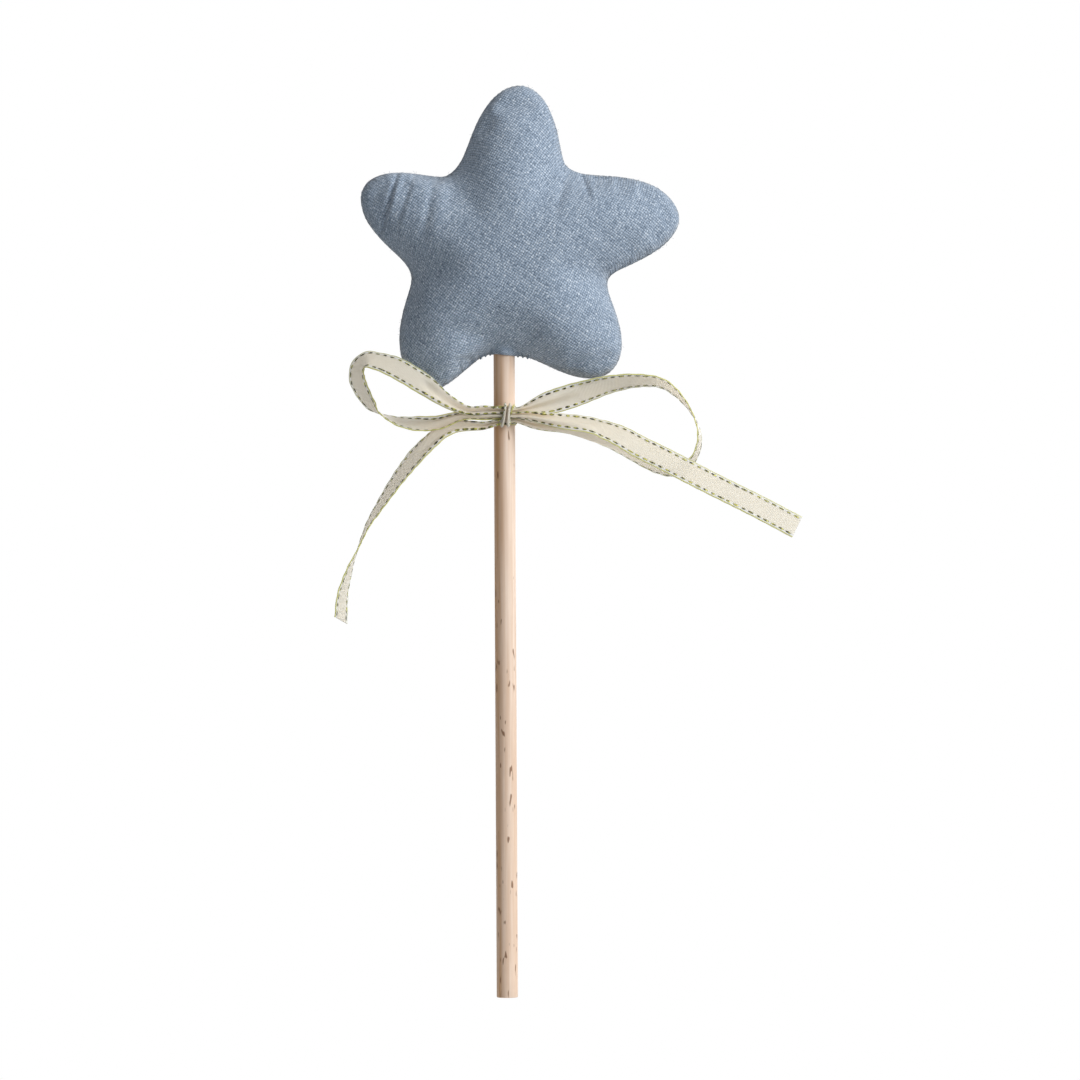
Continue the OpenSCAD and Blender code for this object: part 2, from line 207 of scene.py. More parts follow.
def makeLinen():
    material, tree, shader = newMaterial("plainWeaveLinen")
    look, step = linenLook, 1 / linenLook["threadStep"]
    uv = addNode(tree, "ShaderNodeUVMap", uv_map="flat")
    cells = addNode(tree, "ShaderNodeMapping", {0: uv, "Scale": (step, step, 1),
                                                "Rotation": (0, 0, math.radians(look["bias"]))})
    drift = addNode(tree, "ShaderNodeTexNoise", {"Vector": cells, "Scale": look["wobbleScale"], "Detail": 2.0})
    drift = addNode(tree, "ShaderNodeVectorMath", {0: drift.outputs["Color"], 1: (0.5, 0.5, 0.5)},
                    operation='SUBTRACT')
    drift = addNode(tree, "ShaderNodeVectorMath", {0: drift, "Scale": 2 * look["wobble"]}, operation='SCALE')
    cells = addNode(tree, "ShaderNodeVectorMath", {0: cells, 1: drift}, operation='ADD')
    axes = addNode(tree, "ShaderNodeSeparateXYZ", {0: cells})
    tones, rounds, floors = [], [], []
    for k in (0, 1):  # warp, then weft
        index = addNode(tree, "ShaderNodeMath", {0: axes.outputs[k]}, operation='FLOOR')
        floors.append(index)
        wave = addNode(tree, "ShaderNodeMath", {0: axes.outputs[k], 1: math.pi}, operation='MULTIPLY')
        wave = addNode(tree, "ShaderNodeMath", {0: wave}, operation='SINE')
        rounds.append(addNode(tree, "ShaderNodeMath", {0: wave}, operation='ABSOLUTE'))
        own = addNode(tree, "ShaderNodeTexWhiteNoise", {"W": index}, noise_dimensions='1D')
        # the weft's slubs lie elsewhere than the warp's
        slub = addNode(tree, "ShaderNodeMapping", {0: cells, "Location": (7.3 * k, 3.1 * k, 0)})
        slub = addNode(tree, "ShaderNodeTexNoise", {"Vector": slub, "Scale": look["slubScale"], "Detail": 1.0})
        tones.append(addNode(tree, "ShaderNodeMix", {0: look["slubShare"], 2: own, 3: slub}))
    # warp on top in one cell, weft in the next
    parity = addNode(tree, "ShaderNodeMath", {0: floors[0], 1: floors[1]}, operation='ADD')
    parity = addNode(tree, "ShaderNodeMath", {0: parity, 1: 1.0}, operation='PINGPONG')
    tone = addNode(tree, "ShaderNodeMix", {0: parity, 2: tones[0], 3: tones[1]})
    crossing = addNode(tree, "ShaderNodeCombineXYZ", {0: floors[0], 1: floors[1]})
    crossing = addNode(tree, "ShaderNodeTexWhiteNoise", {"Vector": crossing}, noise_dimensions='2D')
    tone = addNode(tree, "ShaderNodeMix", {0: look["pepper"], 2: tone, 3: crossing})
    # the thread on top is round across and dives at both ends of its cell
    heights = []
    for across, along in ((0, 1), (1, 0)):
        dive = addNode(tree, "ShaderNodeMath", {0: rounds[along], 1: look["dive"], 2: 1 - look["dive"]},
                       operation='MULTIPLY_ADD')
        swell = addNode(tree, "ShaderNodeMath", {0: rounds[across], 1: look["roundness"]}, operation='POWER')
        heights.append(addNode(tree, "ShaderNodeMath", {0: swell, 1: dive}, operation='MULTIPLY'))
    height = addNode(tree, "ShaderNodeMix", {0: parity, 2: heights[0], 3: heights[1]})
    ramp = addNode(tree, "ShaderNodeValToRGB", {0: tone})
    stops = ramp.color_ramp.elements
    stops[0].position, stops[0].color = look["darkTo"], linear(look["dark"])
    stops[1].position, stops[1].color = look["lightFrom"], linear(look["light"])
    stops.new(look["middleAt"]).color = linear(look["middle"])
    # painted shade in the gaps between threads and painted light on their tops, set by the threads' height
    shade = addNode(tree, "ShaderNodeMapRange", {0: height, 1: look["gapAt"], 2: look["topAt"],
                                                 3: look["gapPaintedShade"], 4: look["topPaintedLight"]})
    colour = addNode(tree, "ShaderNodeVectorMath", {0: ramp, "Scale": shade}, operation='SCALE')
    bump = addNode(tree, "ShaderNodeBump", {"Strength": look["bump"], "Distance": look["bumpDepth"],
                                            "Height": height})
    feed(tree, shader, {"Base Color": colour, "Normal": bump, "Roughness": 0.92,
                        "Specular IOR Level": 0.2, "Sheen Weight": 0.25, "Sheen Roughness": 0.6})
    return material


# Woven ribbon, ivory polyester: fine ribs across, satin sheen, nearly white selvedges with a thin gold edge,
# and thin enough for light to come through from behind
ribbonLook = {
    "ivory": "#f0dcc3", "shade": "#e4ceb1", "selvedge": "#f3efe0", "goldEdge": "#b9b766",
    "ribStep": 0.55 * mm, "mottleLength": 1.4286 * mm, "mottleWidth": 0.4167 * mm, "mottleBump": 0.8,
    # where each band of colour starts and is full, in from the edge
    "bands": {"selvedge": (1.5 * mm, 0.9 * mm), "goldEdge": (0.55 * mm, 0.35 * mm)},
    "bump": 0.25, "bumpDepth": 0.08 * mm, "glowDepth": 3 * mm,
}


def makeRibbonCloth(width):
    material, tree, shader = newMaterial("wovenRibbon")
    look = ribbonLook
    uv = addNode(tree, "ShaderNodeUVMap", uv_map="flat")
    axes = addNode(tree, "ShaderNodeSeparateXYZ", {0: uv})
    ribs = addNode(tree, "ShaderNodeMath", {0: axes.outputs[0], 1: math.tau / look["ribStep"]},
                   operation='MULTIPLY')
    ribs = addNode(tree, "ShaderNodeMath", {0: ribs}, operation='SINE')
    mottle = addNode(tree, "ShaderNodeMapping", {
        0: uv, "Scale": (1 / look["mottleLength"], 1 / look["mottleWidth"], 1)})
    mottle = addNode(tree, "ShaderNodeTexNoise", {"Vector": mottle, "Scale": 1.0, "Detail": 3.0})
    colour = addNode(tree, "ShaderNodeMix", {0: mottle, 6: linear(look["ivory"]),
                                             7: linear(look["shade"])}, data_type='RGBA')
    off = addNode(tree, "ShaderNodeMath", {0: axes.outputs[1], 1: width / 2}, operation='SUBTRACT')
    off = addNode(tree, "ShaderNodeMath", {0: off}, operation='ABSOLUTE')
    for name, (starts, full) in look["bands"].items():
        band = addNode(tree, "ShaderNodeMapRange", {0: off, 1: width / 2 - starts, 2: width / 2 - full})
        colour = addNode(tree, "ShaderNodeMix", {0: band, 6: colour, 7: linear(look[name])}, data_type='RGBA')
    height = addNode(tree, "ShaderNodeMath", {0: mottle, 1: look["mottleBump"], 2: ribs},
                     operation='MULTIPLY_ADD')
    bump = addNode(tree, "ShaderNodeBump", {"Strength": look["bump"], "Distance": look["bumpDepth"],
                                            "Height": height})
    feed(tree, shader, {"Base Color": colour, "Normal": bump, "Roughness": 0.55,
                        "Subsurface Weight": 1.0, "Subsurface Radius": (1.0, 0.95, 0.9),
                        "Subsurface Scale": look["glowDepth"], "Sheen Weight": 0.2, "Specular IOR Level": 0.35})
    return material


# Metallised thread, olive gold: bright film twisted round a dark core, so it flickers along its length; its bright
# patches are painted glints as well as film
metalLook = {"core": "#38361f", "filmAndGlint": "#b7b45a", "coreTo": 0.42, "filmAndGlintFrom": 0.64, "flicker": 1.111 * mm}


def makeMetalThread():
    material, tree, shader = newMaterial("metallisedThread")
    place = addNode(tree, "ShaderNodeTexCoord")
    flicker = addNode(tree, "ShaderNodeTexNoise", {"Vector": place.outputs["Object"],
                                                   "Scale": 1 / metalLook["flicker"], "Detail": 2.0})
    # dark core and bright film, whose bright patches are also painted glints
    ramp = addNode(tree, "ShaderNodeValToRGB", {0: flicker})
    stops = ramp.color_ramp.elements
    stops[0].position, stops[0].color = metalLook["coreTo"], linear(metalLook["core"])
    stops[1].position, stops[1].color = metalLook["filmAndGlintFrom"], linear(metalLook["filmAndGlint"])
    feed(tree, shader, {"Base Color": ramp, "Metallic": 0.5, "Roughness": 0.42})
    return material


# Beech, turned and sanded: pale pinkish tan with fine long grain and short brown ray flecks
beechLook = {
    "pale": "#f0dccb", "tan": "#c89e77", "fleck": "#7d5a3f",
    "grainWidth": 1.111 * mm, "grainLength": 35.71 * mm, "streakWidth": 3.846 * mm, "streakLength": 111.1 * mm,
    "tanFrom": 0.38, "tanFull": 0.68, "tanMost": 0.6,
    # painted shade: the wood darkens towards the rod's left side, the side away from the key light
    "paintedShadeFrom": 0.4 * mm, "paintedShadeFull": -2.8 * mm, "paintedShadeBy": 0.55,
    # flecks are thicker towards the foot
    "fleckWidth": 0.5 * mm, "fleckLength": 2.2 * mm, "fleckFrom": 0.71, "fleckFull": 0.77, "fleckMost": 0.85,
    "thinFrom": 120 * mm, "thinFull": 170 * mm, "thinBy": 0.09,
    "bump": 0.2, "bumpDepth": 0.08 * mm, "smoothest": 0.5, "roughest": 0.7,
}


def makeBeech():
    material, tree, shader = newMaterial("sandedBeech")
    look = beechLook
    place = addNode(tree, "ShaderNodeTexCoord").outputs["Object"]
    axes = addNode(tree, "ShaderNodeSeparateXYZ", {0: place})
    # noise drawn out along the rod; a fleck is about half a noise cell
    layers = []
    for width, length, detail in ((look["grainWidth"], look["grainLength"], 4.0),
                                  (look["streakWidth"], look["streakLength"], 2.0),
                                  (2 * look["fleckWidth"], 2 * look["fleckLength"], 0.0)):
        cells = addNode(tree, "ShaderNodeMapping", {0: place, "Scale": (1 / width, 1 / width, 1 / length)})
        layers.append(addNode(tree, "ShaderNodeTexNoise", {"Vector": cells, "Scale": 1.0, "Detail": detail}))
    grain, streak, fleck = layers
    tone = addNode(tree, "ShaderNodeMix", {0: 0.5, 2: grain, 3: streak})
    tone = addNode(tree, "ShaderNodeMapRange", {0: tone, 1: look["tanFrom"], 2: look["tanFull"],
                                                3: 0.0, 4: look["tanMost"]})
    # painted shade, darker towards the rod's left side
    side = addNode(tree, "ShaderNodeMapRange", {0: axes.outputs[0], 1: look["paintedShadeFull"], 2: look["paintedShadeFrom"],
                                                3: look["paintedShadeBy"], 4: 0.0})
    tone = addNode(tree, "ShaderNodeMath", {0: tone, 1: side}, operation='ADD', use_clamp=True)
    wood = addNode(tree, "ShaderNodeMix", {0: tone, 6: linear(look["pale"]), 7: linear(look["tan"])},
                   data_type='RGBA')
    thin = addNode(tree, "ShaderNodeMapRange", {0: axes.outputs[2], 1: look["thinFrom"], 2: look["thinFull"],
                                                3: 0.0, 4: look["thinBy"]})
    fleck = addNode(tree, "ShaderNodeMath", {0: fleck, 1: thin}, operation='SUBTRACT')
    fleck = addNode(tree, "ShaderNodeMapRange", {0: fleck, 1: look["fleckFrom"], 2: look["fleckFull"],
                                                 3: 0.0, 4: look["fleckMost"]})
    colour = addNode(tree, "ShaderNodeMix", {0: fleck, 6: wood, 7: linear(look["fleck"])}, data_type='RGBA')
    bump = addNode(tree, "ShaderNodeBump", {"Strength": look["bump"], "Distance": look["bumpDepth"],
                                            "Height": grain})
    rough = addNode(tree, "ShaderNodeMapRange", {0: grain, 3: look["smoothest"], 4: look["roughest"]})
    feed(tree, shader, {"Base Color": colour, "Normal": bump, "Roughness": rough, "Specular IOR Level": 0.3})
    return material


# two close colours mixed by noise, at the size of what the thing is made of
mixedLooks = {
    # spun polyester thread, dyed to the linen: matt, twisted plies
    "spunThread": {"dark": "#66788c", "light": "#94a5b7", "step": 0.4 * mm, "roughness": 0.75},
    # hollow-fibre filling, carded: off-white, soft and matt, its strands standing up
    "cardedFilling": {"dark": "#dedbd3", "light": "#fbfaf5", "step": 1.4286 * mm, "detail": 4.0,
                      "roughness": 0.95, "sheen": 0.4, "bump": 0.6, "bumpDepth": 0.4 * mm},
    # hot-melt glue, set: milky and slightly glossy
    "setHotGlue": {"dark": "#e6dfc8", "light": "#f3eee0", "step": 2.5 * mm, "roughness": 0.35},
    # linen fibre, single: paler than the yarn it came from
    "linenFibre": {"dark": "#71839a", "light": "#b9c6d4", "step": 3.333 * mm, "roughness": 0.85},
}


def makeMixed(name):
    material, tree, shader = newMaterial(name)
    look = mixedLooks[name]
    place = addNode(tree, "ShaderNodeTexCoord")
    cloud = addNode(tree, "ShaderNodeTexNoise", {"Vector": place.outputs["Object"], "Scale": 1 / look["step"],
                                                 "Detail": look.get("detail", 2.0)})
    colour = addNode(tree, "ShaderNodeMix", {0: cloud, 6: linear(look["dark"]),
                                             7: linear(look["light"])}, data_type='RGBA')
    feed(tree, shader, {"Base Color": colour, "Roughness": look["roughness"],
                        "Sheen Weight": look.get("sheen", 0.0)})
    if "bump" in look:
        bump = addNode(tree, "ShaderNodeBump", {"Strength": look["bump"], "Distance": look["bumpDepth"],
                                                "Height": cloud})
        feed(tree, shader, {"Normal": bump})
    return material


linen, beech, metalThread = makeLinen(), makeBeech(), makeMetalThread()
sewingThread, filling, glue, fibre = [makeMixed(name) for name in mixedLooks]
print("materials made")


# Dowel: turned beech, edges broken, foot sawn square; hand-sanded, so never quite round
dowel = {"radius": 4 * mm, "length": 300 * mm, "bevel": 0.3 * mm, "around": 72, "rise": 6 * mm,
         "outOfRound": 0.006, "sandedStep": 45.45 * mm, "sharpAbove": 35}


def makeDowel():
    r, top, bevel = dowel["radius"], dowel["length"], dowel["bevel"]
    low = 0.3 * bevel  # the broken edge is slightly round
    heights = list(np.arange(bevel, top - bevel, dowel["rise"])) + [top - bevel]
    profile = [(r - bevel, 0.0), (r - low, low)] + [(r, z) for z in heights]
    profile += [(r - low, top - low), (r - bevel, top)]
    rings = []
    for radius, z in profile:
        ring = []
        for a in turns(dowel["around"]):
            worn = noise.noise(Vector((math.cos(a), math.sin(a), z / dowel["sandedStep"])))
            lean = 1 - dowel["outOfRound"] * (1 + worn) / 2
            ring.append((radius * lean * math.cos(a), radius * lean * math.sin(a), z))
        rings.append(ring)
    piece = newPiece("beechDowel", *skinRings(rings), beech)
    piece.data.set_sharp_from_angle(angle=math.radians(dowel["sharpAbove"]))
    return piece


beechDowel = makeDowel()
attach(beechDowel, "wand")
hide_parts("dowel")
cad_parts["glue_drop"].data.materials.clear()
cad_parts["glue_drop"].data.materials.append(glue)
print("dowel made")


# Star: two linen panels sewn along the outline, turned and stuffed
star = {
    "middle": (3.5 * mm, 278.5 * mm), "reach": 64 * mm, "notch": 38.5 * mm, "half": 18 * mm,
    "tipAngles": [13.3, 87, 156, 236, 309.5], "tipShares": [1, 0.99, 0.96, 0.95, 0.893],
    "notchAngles": [-15, 58, 129, 192, 265], "notchShares": [0.955, 1, 0.995, 1.01, 0.985],
    "rising": [0.97, 0.85, 0.9, 0.8, 1.7], "falling": [1.2, 1.35, 1.15, 2.3, 1], "sideSteps": 60,
    "crownRound": 2.2, "crownSteep": 0.6, "clothStep": 2.0 * mm, "clothThick": 0.6 * mm, "edgeRoom": 0.62,
    "easing": 14, "easeFrom": 3 * mm, "easeOver": 8 * mm,
}
# the blank before stuffing: stiff in its plane, soft in bending, cut a little large and blown up with the
# seam held; it is simulated ten times as large, where cloth settings are steadier
blank = {"half": 13.6 * mm, "frames": 24, "cap": 4 * mm, "scale": 10, "cloth": {
    "quality": 7, "mass": 0.3, "tension_stiffness": 30, "compression_stiffness": 30, "shear_stiffness": 12,
    "bending_stiffness": 0.8, "tension_damping": 12, "compression_damping": 12, "shear_damping": 12,
    "air_damping": 4, "vertex_group_mass": "seam", "use_pressure": True, "uniform_pressure_force": 6.0,
    "shrink_min": -0.035}}
middleRadius = (star["reach"] + star["notch"]) / 2


def starOutline(steps):
    arms, rows = len(star["tipAngles"]), []
    for i in range(arms):
        tipA, tipR = star["tipAngles"][i], star["reach"] * star["tipShares"][i]
        sides = ((star["notchAngles"][i], star["notchShares"][i], star["rising"][i], False),
                 (star["notchAngles"][(i + 1) % arms] + (360 if i + 1 == arms else 0),
                  star["notchShares"][(i + 1) % arms], star["falling"][i], True))
        for notchA, share, power, back in sides:
            notchR = star["notch"] * share
            for k in range(steps):
                u = 1 - k / steps if back else k / steps
                swell = ((1 - math.cos(math.pi * u)) / 2) ** power
                rows.append((notchA + (tipA - notchA) * u, notchR + (tipR - notchR) * swell))
    return np.array(rows)


outlineRows = starOutline(star["sideSteps"])
outlineAngles = np.radians(np.append(outlineRows[:, 0], outlineRows[0, 0] + 360))
outlineRadii = np.append(outlineRows[:, 1], outlineRows[0, 1])
denseOutline = np.stack([outlineRadii * np.cos(outlineAngles), outlineRadii * np.sin(outlineAngles)], 1)


def crown(share):
    return np.maximum(1 - np.clip(share, 0, 1) ** star["crownRound"], 0) ** star["crownSteep"]


def ringShare(flat):
    # share of the way from the middle to the outline, with rings that grow round towards the middle
    angle = np.arctan2(flat[:, 1], flat[:, 0])
    angle = np.where(angle < outlineAngles[0], angle + math.tau, angle)
    edge = np.interp(angle, outlineAngles, outlineRadii)
    radius, bend = np.hypot(flat[:, 0], flat[:, 1]), edge - middleRadius
    bend = np.where(np.abs(bend) < 1e-6, 1e-6, bend)
    root = np.sqrt(np.maximum(middleRadius ** 2 + 4 * bend * radius, 0))
    return np.clip((root - middleRadius) / (2 * bend), 0, 1), edge, angle


def evenSteps(line, step):
    run = runAlong(line)
    count = round(run[-1] / step)
    marks = np.arange(count) * run[-1] / count
    return np.stack([np.interp(marks, run, line[:, k]) for k in range(line.shape[1])], 1)


def flatStar():
    step = star["clothStep"]
    edge = evenSteps(denseOutline, step)
    reach, rise = star["reach"], step * math.sqrt(3) / 2
    inside = []
    for row in range(-int(reach / rise) - 1, int(reach / rise) + 2):
        for col in range(-int(reach / step) - 1, int(reach / step) + 2):
            inside.append((col * step + (step / 2 if row % 2 else 0), row * rise))
    inside = np.array(inside)
    inside = inside[np.hypot(inside[:, 0], inside[:, 1]) < ringShare(inside)[1]]
    gap = np.linalg.norm(inside[:, None, :] - edge[None, :, :], axis=2).min(1)
    inside = inside[gap > star["edgeRoom"] * step]
    flat, n = np.vstack([edge, inside]), len(edge)
    loops = [(k, (k + 1) % n) for k in range(n)]
    _, _, faces, origins, _, _ = delaunay_2d_cdt([Vector(p) for p in flat], loops, [], 1, 1e-7)
    order = [source[0] for source in origins]
    return flat, [tuple(order[k] for k in f) for f in faces], n


starFlat, starFaces, edgeCount = flatStar()
innerCount = len(starFlat) - edgeCount
# both panels as one closed blank: the back shares the front's edge points
blankFaces = starFaces + [tuple(k if k < edgeCount else k + innerCount for k in reversed(f)) for f in starFaces]
print("star cut out:", len(starFlat), "points a panel")


def stuffStar():
    lift = crown(ringShare(starFlat)[0]) * blank["half"]
    lift[:edgeCount] = 0
    front = np.stack([starFlat[:, 0], -lift, starFlat[:, 1]], 1)
    back = np.stack([starFlat[edgeCount:, 0], lift[edgeCount:], starFlat[edgeCount:, 1]], 1)
    points = np.vstack([front, back])
    cut = newPiece("starBlank", points * blank["scale"], blankFaces, linen)
    held = cut.vertex_groups.new(name="seam")
    held.add(list(range(edgeCount)), 1.0, 'REPLACE')
    cloth = cut.modifiers.new("stuffed", 'CLOTH')
    for key, value in blank["cloth"].items():
        setattr(cloth.settings, key, value)
    cloth.settings.effector_weights.gravity = 0
    cloth.point_cache.frame_end = blank["frames"]
    for step in range(1, blank["frames"] + 1):
        scene.frame_set(step)
    shown = cut.evaluated_get(bpy.context.evaluated_depsgraph_get())
    moved = readVectors(shown.data.vertices, "co") / blank["scale"] - points
    scene.frame_set(1)
    bpy.data.objects.remove(cut)
    far = np.linalg.norm(moved, axis=1, keepdims=True)
    print("stuffing moved the cloth up to", round(float(far.max()) / mm, 2), "mm")
    return points + moved * np.minimum(1, blank["cap"] / np.maximum(far, 1e-9))


starPoints = stuffStar()
print("star stuffed, thickness", round(float(np.ptp(starPoints[:, 1])) / mm, 1), "mm")


def flatCloth(flat):
    # where each point lay on the cut panel: its distance along the crowned cloth from the middle
    share, rim, angle = ringShare(flat)
    steps = np.linspace(0, 1, 33)[None, :] * share[:, None]
    radius = steps * (middleRadius + (rim[:, None] - middleRadius) * steps)
    height = crown(steps) * star["half"]
    run = np.hypot(np.diff(radius, axis=1), np.diff(height, axis=1)).sum(1)
    return np.stack([run * np.cos(angle), run * np.sin(angle)], 1)


starMiddle = np.array([star["middle"][0], 0, star["middle"][1]])
seamLine = starPoints[:edgeCount] + starMiddle

# what stuffing and sewing did to the cloth: creases across an arm, lumps, puckers along the seam, the mouth
wear = {
    # two ends of each crease as seen from the front, in millimetres, its depth and its half width
    "creases": [((-39.8, 308.5), (-46.4, 286.0), 1.15, 0.8), ((-34.0, 307.0), (-40.4, 287.5), 0.4, 0.9),
                ((-25.8, 306.6), (-30.2, 284.0), 0.6, 1.7), ((24.2, 310.0), (19.4, 293.0), 0.45, 1.5),
                ((29.6, 309.0), (32.2, 299.0), 0.6, 0.9)],
    # cloth rolled up beside a crease: how high, and how far and wide in half widths
    "roll": 0.5, "rollAway": 2.4, "rollWide": 1.4, "creaseStep": 4.5 * mm, "creaseEnds": (0.04, 0.96),
    "lump": 0.45 * mm, "lumpStep": 17 * mm, "lumpShift": (3.3, 0, 1.7),
    "pucker": 0.5 * mm, "puckerStep": 5.5 * mm, "puckerReach": 5 * mm, "puckerShift": 4.0, "sewnReach": 1.5 * mm,
    "mouthHalf": 7 * mm, "mouthLip": 4.75 * mm, "lipSteep": 1.5,
    "allowance": 5 * mm, "allowanceOff": 0.4 * mm, "sewnOff": 1 * mm,
}


def nearCrease(points, crease):
    a, b = np.array(crease[0]) * mm, np.array(crease[1]) * mm
    spot = points[:, (0, 2)] - a
    share = np.clip(spot @ (b - a) / ((b - a) @ (b - a)), 0, 1)
    right = np.sign((b - a)[0] * spot[:, 1] - (b - a)[1] * spot[:, 0])
    return share, right * np.linalg.norm(spot - share[:, None] * (b - a), axis=1)


def refineCreases(mesh):
    # finer cloth where a crease will run
    work = bmesh.new()
    work.from_mesh(mesh)
    work.verts.ensure_lookup_table()
    points = np.array([v.co for v in work.verts])
    close = np.min([np.abs(nearCrease(points, c)[1]) for c in wear["creases"]], axis=0) < wear["creaseStep"]
    edges = [e for e in work.edges if not e.is_boundary and all(close[v.index] for v in e.verts)]
    bmesh.ops.subdivide_edges(work, edges=edges, cuts=1, use_grid_fill=True)
    work.to_mesh(mesh)
    work.free()


def sculptPanel(mesh, side):
    points, normals = readVectors(mesh.vertices, "co"), readVectors(mesh.vertex_normals, "vector")
    apart = np.linalg.norm(points[:, None, :] - seamLine[None, :, :], axis=2)
    near, where = apart.min(1), apart.argmin(1) * star["clothStep"]
    push = np.zeros(len(points))
    for k, p in enumerate(points):
        lump = noise.noise(Vector(p) / wear["lumpStep"] + Vector(wear["lumpShift"]))
        wave = noise.noise(Vector((where[k] / wear["puckerStep"], wear["puckerShift"] + side, 0)))
        push[k] = wear["lump"] * lump + wear["pucker"] * wave * math.exp(-near[k] / wear["puckerReach"])
    for crease in wear["creases"] if side < 0 else ():
        share, away = nearCrease(points, crease)
        depth, away = crease[2] * mm, away / (crease[3] * mm)
        fade = np.sin(math.pi * np.clip(share, *wear["creaseEnds"])) ** 0.5
        # a groove with the cloth rolled up along its right side
        roll = wear["roll"] * np.exp(-((away - wear["rollAway"]) / wear["rollWide"]) ** 2)
        push += depth * fade * (roll - np.exp(-away ** 2))
    # the sewn edge itself stays put
    points += normals * (push * np.clip(near / wear["sewnReach"], 0, 1))[:, None]
    # room for the dowel, which parts the panels at the mouth
    x, low = np.abs(points[:, 0]), points[:, 2] < star["middle"][1]
    lip = wear["mouthLip"] * np.clip(1 - (x / wear["mouthHalf"]) ** 2, 0, 1) ** wear["lipSteep"]
    depth = points[:, 1] * side
    points[:, 1] = side * np.where(low, np.maximum(depth, lip), depth)
    mesh.vertices.foreach_set("co", points.ravel())


def turnAllowance(mesh, side):
    # the cut edge, turned to the inside along the seam
    work = bmesh.new()
    work.from_mesh(mesh)
    rim = [e for e in work.edges if e.is_boundary and max(abs(v.co.y) for v in e.verts) < wear["sewnOff"]]
    made = bmesh.ops.extrude_edge_only(work, edges=rim)["geom"]
    for vert in (g for g in made if isinstance(g, bmesh.types.BMVert)):
        inward = Vector((star["middle"][0] - vert.co.x, 0, star["middle"][1] - vert.co.z)).normalized()
        vert.co += inward * wear["allowance"]
        vert.co.y += side * wear["allowanceOff"]
    work.to_mesh(mesh)
    work.free()


def makePanel(name, side, points):
    faces = starFaces if side < 0 else [tuple(reversed(f)) for f in starFaces]
    panel = newPiece(name, points + starMiddle, faces, linen)
    cloth = flatCloth(starFlat)
    layer = panel.data.uv_layers.new(name="flat")
    for loop in panel.data.loops:
        layer.data[loop.index].uv = cloth[loop.vertex_index]
    inside = panel.vertex_groups.new(name="inside")
    for k, away in enumerate(np.linalg.norm(starFlat[:, None] - starFlat[None, :edgeCount], axis=2).min(1)):
        share = np.clip((away - star["easeFrom"]) / star["easeOver"], 0, 1)
        inside.add([k], float(share), 'REPLACE')
    ease = panel.modifiers.new("ease", 'SMOOTH')
    ease.use_x = ease.use_z = False
    ease.factor, ease.iterations, ease.vertex_group = 0.5, star["easing"], "inside"
    smooth = panel.modifiers.new("smooth", 'SUBSURF')
    smooth.levels = smooth.render_levels = 1
    bakeMesh(panel)
    if side < 0:
        refineCreases(panel.data)
    sculptPanel(panel.data, side)
    finePanels.append((readVectors(panel.data.vertices, "co"), [tuple(f.vertices) for f in panel.data.polygons]))
    turnAllowance(panel.data, side)
    panel.data.shade_smooth()
    thick = panel.modifiers.new("linen", 'SOLIDIFY')
    thick.thickness = star["clothThick"]
    thick.offset = -1
    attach(panel, "wand")
    return panel


finePanels = []  # points and faces of each panel as sculpted, for the fuzz
frontPoints = starPoints[:len(starFlat)]
backPoints = np.vstack([starPoints[:edgeCount], starPoints[len(starFlat):]])
starFront = makePanel("starFront", -1, frontPoints)
starBack = makePanel("starBack", 1, backPoints)
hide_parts("star_front_panel")
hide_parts("star_back_panel")
print("star panels made")


# Filling: carded fibre pressed into the star, with the dowel pushed into it
puff = {"inset": 1.8 * mm, "lump": 0.5 * mm, "lumpStep": 6.25 * mm, "bore": 4.3 * mm, "boreAround": 32,
        "boreFrom": 200 * mm, "boreOver": 4 * mm}


def makePuff():
    piece = newPiece("starFilling", starPoints + starMiddle, blankFaces, filling)
    points, normals = readVectors(piece.data.vertices, "co"), readVectors(piece.data.vertex_normals, "vector")
    lumps = np.array([noise.noise(Vector(p) / puff["lumpStep"]) for p in points])
    points -= normals * (puff["inset"] + puff["lump"] * (1 + lumps))[:, None]
    piece.data.vertices.foreach_set("co", points.ravel())
    ends = (puff["boreFrom"], dowel["length"] + puff["boreOver"])
    rings = [circle(puff["bore"], z, puff["boreAround"]) for z in ends]
    rod = newPiece("bore", *skinRings(rings), filling)
    cut = piece.modifiers.new("bore", 'BOOLEAN')
    cut.object = rod
    cut.operation = 'DIFFERENCE'
    bakeMesh(piece)
    bpy.data.objects.remove(rod)
    return piece


starFilling = makePuff()
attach(starFilling, "wand")
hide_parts("stuffing")
print("filling made")


# Geometry Nodes: a tree with named inputs, and the identifiers that a modifier sets them by
def newNodeTree(name, takes, inputs, makes):
    tree = bpy.data.node_groups.new(name, 'GeometryNodeTree')
    sockets = tree.interface
    sockets.new_socket(takes, in_out='INPUT', socket_type='NodeSocketGeometry')
    ids = {label: sockets.new_socket(label, in_out='INPUT', socket_type='NodeSocket' + kind).identifier
           for label, kind in inputs.items()}
    sockets.new_socket(makes, in_out='OUTPUT', socket_type='NodeSocketGeometry')
    return tree, ids, addNode(tree, "NodeGroupInput").outputs


def growNodes(piece, tree, ids, values):
    grow = piece.modifiers.new(tree.name, 'NODES')
    grow.node_group = tree
    for label, value in values.items():
        grow[ids[label]] = value
    bakeMesh(piece)


